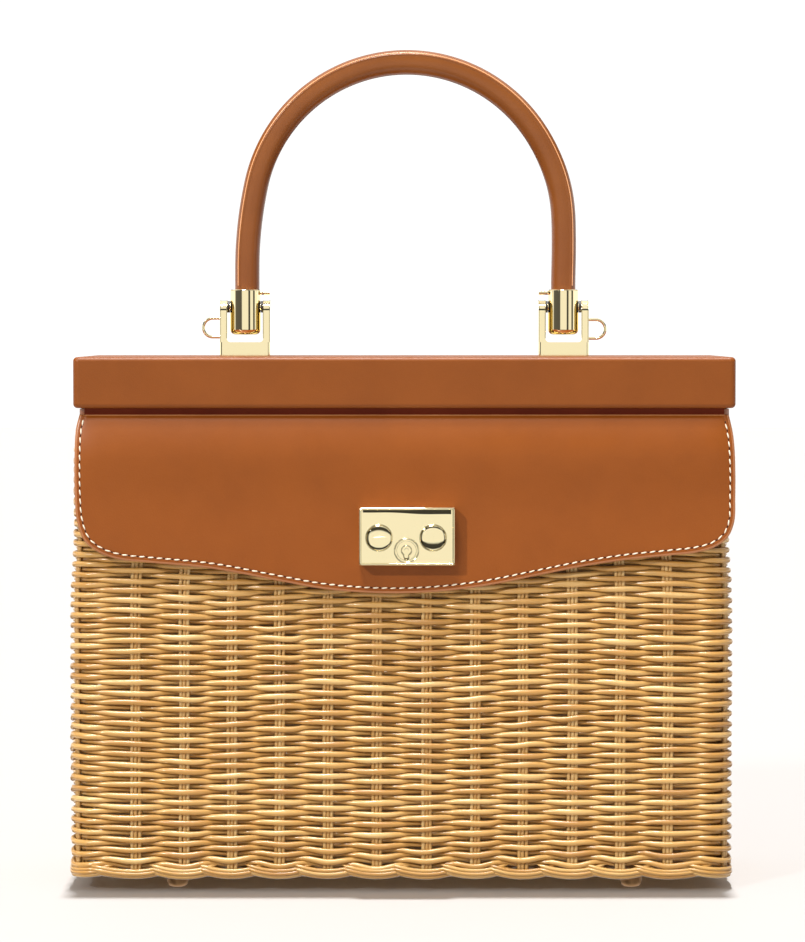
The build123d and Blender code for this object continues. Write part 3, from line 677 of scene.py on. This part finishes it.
# lock relief: rolled rim, rosette, keyhole lip, domed buttons in their collars
def loop_bead(bag, pts2, y, r, m=8):
    p = np.array([(x, y, z) for x, z in pts2])
    t = np.roll(p, -1, 0) - np.roll(p, 1, 0)
    t /= np.linalg.norm(t, axis=1)[:, None]
    out = np.tile([0.0, -1.0, 0.0], (len(p), 1))
    tube(p, out, np.cross(t, out), r, r, m, True, 0.0, 0.5, bag)


def circle(cx, cz, r, n=48, a0=0.0, a1=2 * math.pi):
    return [(cx + r * math.cos(a), cz + r * math.sin(a)) for a in np.linspace(a0, a1, n, endpoint=False)]


def disc(cx, cz, prof, n=56, tilt=(0.0, 0.0)):
    """Turned button: prof is (radius, y); tilt leans its face."""
    v, f = [], []
    for r, y in prof:
        for a in np.arange(n) * 2 * math.pi / n:
            dx, dz = r * math.cos(a), r * math.sin(a)
            v.append((cx + dx, y + dx * tilt[0] + dz * tilt[1], cz + dz))
    f = ring_faces(len(prof), n, False).tolist()
    v.append((cx, prof[-1][1], cz))
    k = (len(prof) - 1) * n
    f += [[k + j, k + (j + 1) % n, len(v) - 1] for j in range(n)]
    return v, f


LX, LZ = 1.1, 152.15
bag = Bag()
rim = []
for cx, cz, a0 in ((19.2, 11.2, 0.0), (-19.2, 11.2, 0.5), (-19.2, -11.2, 1.0), (19.2, -11.2, 1.5)):
    rim += [(LX + cx + 0.5 * math.cos(a0 * math.pi + t), LZ + cz + 0.5 * math.sin(a0 * math.pi + t)) for t in np.linspace(0, math.pi / 2, 5)]
loop_bead(bag, rim, -60.28, 0.52, 10)
loop_bead(bag, circle(0.9, 146.15, 5.0), -60.3, 0.36, 10)
loop_bead(bag, circle(0.9, 146.15, 4.25), -60.3, 0.2)
kh = circle(0.9, 146.15, 2.15, 26, -0.5 * math.pi + 0.42, 1.5 * math.pi - 0.42) + [(0.9 - 0.95, 142.9), (0.9 - 0.6, 142.2), (0.9 + 0.6, 142.2), (0.9 + 0.95, 142.9)]
loop_bead(bag, kh, -60.32, 0.22)
for bx_ in (-10.7, 12.1):
    loop_bead(bag, circle(bx_, 151.55, 5.62), -60.26, 0.2)
cove = []
for x_ in np.linspace(-18.6, 18.6, 31):
    h_ = 1.45 + 0.5 * (x_ / 18.6) + 0.16 * math.sin(x_ / 4.0)
    for k_ in (0.0, 0.34, 0.67, 1.0):
        cove.append((LX + x_, -60.19 - 0.155 * h_ * (1 - k_), LZ + 11.2 - h_ * k_))
bag.add(np.array(cove), np.array([(i * 4 + j, i * 4 + j + 1, i * 4 + j + 5, i * 4 + j + 4) for i in range(30) for j in range(3)]))
relief = bag.build("lock_relief", GOLD)
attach(relief, "flap")
DOME = [(5.38, -59.4), (5.38, -60.45), (5.25, -60.62), (4.9, -60.74), (4.2, -60.86), (3.2, -60.95), (2.0, -61.01), (0.9, -61.04)]
for side, bx_, tl in (("left", -10.7, (-0.05, 0.075)), ("right", 12.1, (0.0, -0.004))):
    v_, f_ = disc(bx_, 151.55, DOME, tilt=tl)
    bag = Bag()
    bag.add(v_, [q_ + [q_[-1]] if len(q_) == 3 else q_ for q_ in f_])
    if side == "left":
        a_ = np.array([(bx_ - 2.0, -61.02, 151.75), (bx_, -61.05, 151.95), (bx_ + 2.2, -61.0, 152.1)])
        tube(a_, np.tile([0, -1.0, 0], (3, 1)), np.tile([0, 0, 1.0], (3, 1)), 0.1, 0.13, 6, False, 0, 0.5, bag)
    ob = bag.build(side + "_button_face", GOLD)
    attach(ob, side + "_button")
    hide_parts(side + "_button")

# leather strip that carries the flap: it comes off the back of the rolled top and runs up under the lid; its dark
# red-brown colour is painted shade of the gap under the lid
prof = [(-50.6, 200.8), (-49.6, 201.8), (-49.0, 203.0), (-48.9, 204.4), (-49.0, 205.6), (-49.2, 206.4)]
bag = Bag()
xs = np.linspace(-135.5, 135.5, 61)
P = np.array(prof)
T = np.gradient(P, axis=0)
T /= np.linalg.norm(T, axis=1)[:, None]
Nn = np.stack([-T[:, 1], T[:, 0]], -1) * 0.4
loop = np.concatenate([P + Nn, (P - Nn)[::-1]])
m = len(loop)
v = np.array([(x, py, pz) for x in xs for py, pz in loop])
f = ring_faces(len(xs), m, False)
bag.add(v, f)
strip = bag.build("flap_strip", GAP_SHADE)
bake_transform(strip)

# ------------------------------------------------------------------ the handle
HH, R1, R2, TOPZ = 69.4, 67.1, 170.0, 355.5
zc1 = TOPZ - R1
dz_ = math.sqrt((R2 - R1) ** 2 - (R2 - HH) ** 2)
zc2 = zc1 - dz_
ang = math.atan2(dz_, R2 - HH)
pts = [(HH, z) for z in np.linspace(252.0, zc2, 8)[:-1]]
pts += [(HH - R2 + R2 * math.cos(a), zc2 + R2 * math.sin(a)) for a in np.linspace(0, ang, 16)[:-1]]
pts += [(R1 * math.cos(a), zc1 + R1 * math.sin(a)) for a in np.linspace(ang, math.pi - ang, 96)]
pts += [(-x, z) for x, z in reversed(pts[:22])]
pts = np.array(pts)
lean_t = np.clip((pts[:, 1] - 257.0) / 45.0, 0, 1)
lean_s = lean_t * lean_t * (3 - 2 * lean_t)
pts[:, 0] += 1.0 * lean_s + np.where(pts[:, 0] < 0, 0.8 * (1 - lean_s), 0.85 * np.exp(-((pts[:, 1] - 297.0) / 15.0) ** 2))
keep = [0] + [i for i in range(1, len(pts)) if np.linalg.norm(pts[i] - pts[i - 1]) > 0.3]
pts = pts[keep]
tg = np.gradient(pts, axis=0)
tg /= np.linalg.norm(tg, axis=1)[:, None]
outn = np.stack([tg[:, 1], -tg[:, 0]], -1)
SEC = [(0, 5.1), (1.2, 5.04), (2.4, 4.74), (3.3, 4.28), (4.0, 3.74), (4.46, 3.3), (4.66, 3.1), (4.66, 2.86), (4.56, 2.6), (4.62, 2.1), (4.78, 1.2),
       (4.86, 0), (4.82, -1.2), (4.66, -2.3), (4.3, -3.2), (3.7, -3.95), (2.8, -4.6), (1.7, -4.98), (0.8, -5.1), (0.3, -5.02), (0, -4.72)]
sec = SEC + [(-v_, u_) for v_, u_ in SEC[-2:0:-1]]
sec = np.array(sec)
m = len(sec)
v = []
for (x, z), (ox, oz) in zip(pts, outn):
    for dv, du in sec:
        v.append((x + ox * du * 1.045, dv, z + oz * du * 1.045))
s = np.concatenate([[0], np.cumsum(np.linalg.norm(np.diff(pts, axis=0), axis=1))])
bag = Bag()
bag.add(np.array(v), ring_faces(len(pts), m, False))
handle = bag.build("handle_sleeve", GRIP)
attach(handle, "handle")
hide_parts("handle_leather")


# a pale bead runs along the outer shoulder, front and back; its near-white peach colour is a painted highlight on the
# crease
bag = Bag()
for sy in (-1, 1):
    c_ = np.array([(x + ox * 3.72, sy * 4.1, z + oz * 3.72) for (x, z), (ox, oz) in zip(pts, outn)])
    c_ = c_[(pts[:, 1] > 256.7)]
    on_ = outn[(pts[:, 1] > 256.7)]
    o3 = np.stack([on_[:, 0], np.zeros(len(on_)), on_[:, 1]], -1)
    tube(c_, o3, np.tile([0.0, sy * 1.0, 0.0], (len(c_), 1)), 0.3, 0.34, 8, False, 0.0, 0.5, bag)
crease_highlight = bag.build("handle_crease_highlight", CREASE_HIGHLIGHT)
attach(crease_highlight, "handle")

# rounded edges of the brackets
bag = Bag()
for xc in (-69.4, 69.4):
    for dx, z0_ in ((-10.72, 227.9), (-7.98, 235.4), (7.98, 235.4), (10.72, 227.9)):
        zz = np.linspace(z0_, 247.0, 6)
        arc = np.linspace(0, math.pi / 2, 8)[1:]
        pz = np.concatenate([zz, 247.0 + 4.76 * np.sin(arc)])
        py = np.concatenate([np.full(6, -4.76), -4.76 * np.cos(arc)])
        pp = np.stack([np.full(len(pz), xc + dx), py, pz], -1)
        tt_ = np.gradient(pp, axis=0)
        tt_ /= np.linalg.norm(tt_, axis=1)[:, None]
        nrm = np.cross(tt_, [1.0, 0, 0])
        tube(pp, nrm, np.tile([1.0, 0, 0], (len(pp), 1)), 0.24, 0.24, 8, False, 0.0, 0.5, bag)
edges_ = bag.build("bracket_edges", GOLD)
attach(edges_, "lid")


# ------------------------------------------------------------------ linings
def cloth_wall(name, hx, yf, yb, r, z0, z1, wave, body, gone, rows=22, top_open=True):
    per, pts2 = 0.0, []
    for cx, cy, a0 in ((-hx + r, yf + r, math.pi), (hx - r, yf + r, 1.5 * math.pi), (hx - r, yb - r, 0.0), (-hx + r, yb - r, 0.5 * math.pi)):
        pts2 += [(cx + r * math.cos(a0 + t), cy + r * math.sin(a0 + t)) for t in np.linspace(0, math.pi / 2, 6)]
    ring = []
    for i, a in enumerate(pts2):
        b = pts2[(i + 1) % len(pts2)]
        k = max(1, int(np.hypot(b[0] - a[0], b[1] - a[1]) / 8.0))
        ring += [(a[0] + (b[0] - a[0]) * j / k, a[1] + (b[1] - a[1]) * j / k) for j in range(k)]
    ring = np.array(ring)
    c = np.array([0.0, (yf + yb) / 2])
    nz = smooth_noise(hash_seed(name), 6, 25.0, 110.0)
    ss = np.arange(len(ring)) * 8.0
    verts, faces = [], []
    for i, z in enumerate(np.linspace(z0, z1, rows)):
        amt = wave * math.sin(math.pi * i / (rows - 1))
        inw = amt * (0.5 + 0.5 * nz(ss, z))
        dirn = (c - ring)
        dirn = np.where(np.abs(dirn) > 0, np.sign(dirn), 0) * (np.abs(np.stack([np.abs(ring[:, 0]) > hx - 0.5, (ring[:, 1] < yf + 0.5) | (ring[:, 1] > yb - 0.5)], -1)))
        p = ring + dirn * inw[:, None]
        verts += [(x, y, z) for x, y in p]
    m_ = len(ring)
    faces = [tuple(q_[::-1]) for q_ in ring_faces(rows, m_, False)]
    ob = make_mesh(name, verts, faces, CLOTH)
    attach(ob, body)
    if gone:
        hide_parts(gone)
    return ob


def hash_seed(s_):
    return sum((i + 1) * ord(ch) for i, ch in enumerate(s_))


def cloth_floor(name, hx, yf, yb, z, amp, body, flip):
    nx_, ny_ = 44, 16
    nz = smooth_noise(hash_seed(name), 6, 30.0, 130.0)
    X, Y = np.meshgrid(np.linspace(-hx, hx, nx_), np.linspace(yf, yb, ny_), indexing="ij")
    edge = np.minimum(np.minimum(hx - np.abs(X), np.minimum(Y - yf, yb - Y)) / 12.0, 1.0)
    Z = z + amp * edge * (0.5 + 0.5 * nz(X, Y))
    verts = np.stack([X, Y, Z], -1).reshape(-1, 3)
    faces = [(i * ny_ + j, (i + 1) * ny_ + j, (i + 1) * ny_ + j + 1, i * ny_ + j + 1) for i in range(nx_ - 1) for j in range(ny_ - 1)]
    if flip:
        faces = [f_[::-1] for f_ in faces]
    ob = make_mesh(name, verts, faces, CLOTH)
    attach(ob, body)
    return ob


cloth_wall("lining_walls", 129.9, -41.2, 46.6, 4.0, 13.9, 204.6, 0.9, "basket", "basket_lining")
cloth_floor("lining_floor", 129.4, -40.8, 46.2, 14.0, 0.7, "basket", False)
cloth_wall("lid_lining_walls", 131.6, -46.0, 46.2, 1.0, 206.6, 219.6, 0.15, "lid", "lid_lining", rows=5)
cloth_floor("lid_lining_panel", 131.4, -45.8, 46.0, 219.6, -0.6, "lid", True)

# ------------------------------------------------------------------ floor, light, camera
bpy.ops.mesh.primitive_plane_add(size=14.0, location=(0, 0, 0))
floor = bpy.context.object
floor.name = "studio_floor"
fm = Mat("pale_floor")
fm.link(fm.mix(fm.mathn("MULTIPLY", fm.noise(fm.coords(), 3.0), 0.05), (0.61, 0.60, 0.595, 1), (0.57, 0.56, 0.555, 1)), fm.b.inputs["Base Color"])
fm.set(Roughness=0.75, **{"Specular IOR Level": 0.2})
floor.data.materials.append(fm.m)


def area(name, az, el, dist, size, power, colour=(1, 1, 1), target=(0, 0, 0.15), size_y=None):
    """az 0 is straight in front, positive to the right."""
    ld = bpy.data.lights.new(name, "AREA")
    ld.energy, ld.color, ld.size = power, colour, size
    if size_y:
        ld.shape, ld.size_y = "RECTANGLE", size_y
    ob = bpy.data.objects.new(name, ld)
    bpy.context.scene.collection.objects.link(ob)
    a, e = math.radians(az), math.radians(el)
    tv = Vector(target)
    ob.location = tv + Vector((math.sin(a) * math.cos(e), -math.cos(a) * math.cos(e), math.sin(e))) * dist
    ob.rotation_euler = (tv - ob.location).to_track_quat("-Z", "Y").to_euler()
    return ob




def sun(name, az, el, angle, power, colour=(1, 1, 1)):
    ld = bpy.data.lights.new(name, "SUN")
    ld.energy, ld.color, ld.angle = power, colour, math.radians(angle)
    ob = bpy.data.objects.new(name, ld)
    bpy.context.scene.collection.objects.link(ob)
    a, e = math.radians(az), math.radians(el)
    ob.rotation_euler = (-Vector((math.sin(a) * math.cos(e), -math.cos(a) * math.cos(e), math.sin(e)))).to_track_quat("-Z", "Y").to_euler()
    return ob


def only(light, name, objects, blockers=False):
    """Light (and, if asked, shadow) only from this list of objects."""
    col = bpy.data.collections.new(name)
    for o in objects:
        col.objects.link(o)
    light.light_linking.receiver_collection = col
    if blockers:
        light.light_linking.blocker_collection = col


model = [o for o in bpy.context.scene.objects if o.type == "MESH" and o.name != "studio_floor"]
only(sun("key", -36, 28, 2.0, 1.75, (1.0, 0.97, 0.93)), "lit_by_key", model)
only(sun("soft_front", -22, 62, 14.0, 1.85, (1.0, 0.98, 0.95)), "lit_by_front", model)
only(sun("soft_top", -12, 76, 10.0, 1.5, (1.0, 0.98, 0.95)), "lit_by_top", model)
only(sun("overhead", 170, 86.8, 2.4, 2.2, (1.0, 0.99, 0.97)), "lit_by_overhead", model)
only(sun("floor_overhead", 170, 86.8, 2.4, 3.7, (1.0, 0.99, 0.98)), "lit_by_floor_overhead", [floor])
only(sun("floor_key", -36, 28, 6.0, 0.7, (1.0, 0.99, 0.97)), "lit_by_floor_key", [floor])
only(sun("floor_fill", 0, 60, 20.0, 0.2, (1.0, 0.78, 0.6)), "lit_by_floor_fill", [floor], True)
floor.visible_glossy = False

world = bpy.data.worlds.new("studio")
bpy.context.scene.world = world
world.use_nodes = True
wt = world.node_tree
wt.nodes.clear()
wo = wt.nodes.new("ShaderNodeOutputWorld")
tc = wt.nodes.new("ShaderNodeTexCoord")
sx = wt.nodes.new("ShaderNodeSeparateXYZ")
wt.links.new(tc.outputs["Generated"], sx.inputs[0])


def wmath(op, a, b=0.0):
    x = wt.nodes.new("ShaderNodeMath")
    x.operation = op
    for i, v_ in enumerate((a, b)):
        if isinstance(v_, (int, float)):
            x.inputs[i].default_value = v_
        else:
            wt.links.new(v_, x.inputs[i])
    return x.outputs[0]


azim = wmath("ARCTAN2", sx.outputs[0], wmath("MULTIPLY", sx.outputs[1], -1.0))     # 0 in front, positive right
rp = wt.nodes.new("ShaderNodeValToRGB")
rp.color_ramp.interpolation = "LINEAR"
el = rp.color_ramp.elements
STOPS = [(0.0, 1.35), (0.255, 1.45), (0.29, 0.12), (0.425, 0.10), (0.44, 1.0), (0.56, 1.0), (0.575, 0.04), (0.6, 0.04), (0.615, 1.0), (0.668, 1.0), (0.68, 0.04), (0.705, 0.04), (0.73, 1.3), (1.0, 1.35)]
while len(el) < len(STOPS):
    el.new(0.5)
for e_, (p_, v_) in zip(el, STOPS):
    e_.position, e_.color = p_, (v_, v_ * 0.985, v_ * 0.95, 1)
wt.links.new(wmath("ADD", wmath("DIVIDE", azim, 2 * math.pi), 0.5), rp.inputs["Fac"])
lp = wt.nodes.new("ShaderNodeLightPath")
bg_a, bg_b, mx = wt.nodes.new("ShaderNodeBackground"), wt.nodes.new("ShaderNodeBackground"), wt.nodes.new("ShaderNodeMixShader")
hi = wt.nodes.new("ShaderNodeValToRGB")
he = hi.color_ramp.elements
HS = [(0.0, 0.9), (0.25, 0.9), (0.28, 0.05), (0.41, 0.05), (0.43, 1.0), (0.605, 1.0), (0.63, 0.06), (0.74, 0.06), (0.77, 1.0), (1.0, 1.0)]
while len(he) < len(HS):
    he.new(0.5)
for e_, (p_, v_) in zip(he, HS):
    e_.position, e_.color = p_, (v_, v_, v_, 1)
wt.links.new(wmath("ADD", wmath("MULTIPLY", sx.outputs[2], 0.5), 0.5), hi.inputs["Fac"])
mulc = wt.nodes.new("ShaderNodeMix")
mulc.data_type, mulc.blend_type = "RGBA", "MULTIPLY"
mulc.inputs[0].default_value = 1.0
wt.links.new(rp.outputs["Color"], mulc.inputs[6])
wt.links.new(hi.outputs["Color"], mulc.inputs[7])
sel = wt.nodes.new("ShaderNodeMix")
sel.data_type = "RGBA"
wt.links.new(lp.outputs["Is Glossy Ray"], sel.inputs[0])
sel.inputs[6].default_value = (1.0, 0.945, 0.885, 1)
wt.links.new(mulc.outputs[2], sel.inputs[7])
wt.links.new(sel.outputs[2], bg_a.inputs["Color"])
rng_s = wmath("ADD", wmath("MULTIPLY", lp.outputs["Is Glossy Ray"], 0.60), 0.42)
wt.links.new(rng_s, bg_a.inputs["Strength"])
bg_b.inputs["Color"].default_value = (1, 1, 1, 1)
bg_b.inputs["Strength"].default_value = 1.1
wt.links.new(lp.outputs["Is Camera Ray"], mx.inputs[0])
wt.links.new(bg_a.outputs[0], mx.inputs[1])
wt.links.new(bg_b.outputs[0], mx.inputs[2])
wt.links.new(mx.outputs[0], wo.inputs["Surface"])

sc = bpy.context.scene
sc.view_settings.view_transform = "Standard"
cd = bpy.data.cameras.new("camera")
cd.lens, cd.sensor_width, cd.clip_end = 135.8, 36.0, 50.0
cam = bpy.data.objects.new("camera", cd)
sc.collection.objects.link(cam)
cam.location = (-0.0008, -1.554, 0.240)
cam.rotation_euler = (Vector((-0.0008, -0.054, 0.1795)) - cam.location).to_track_quat("-Z", "Y").to_euler()
sc.camera = cam

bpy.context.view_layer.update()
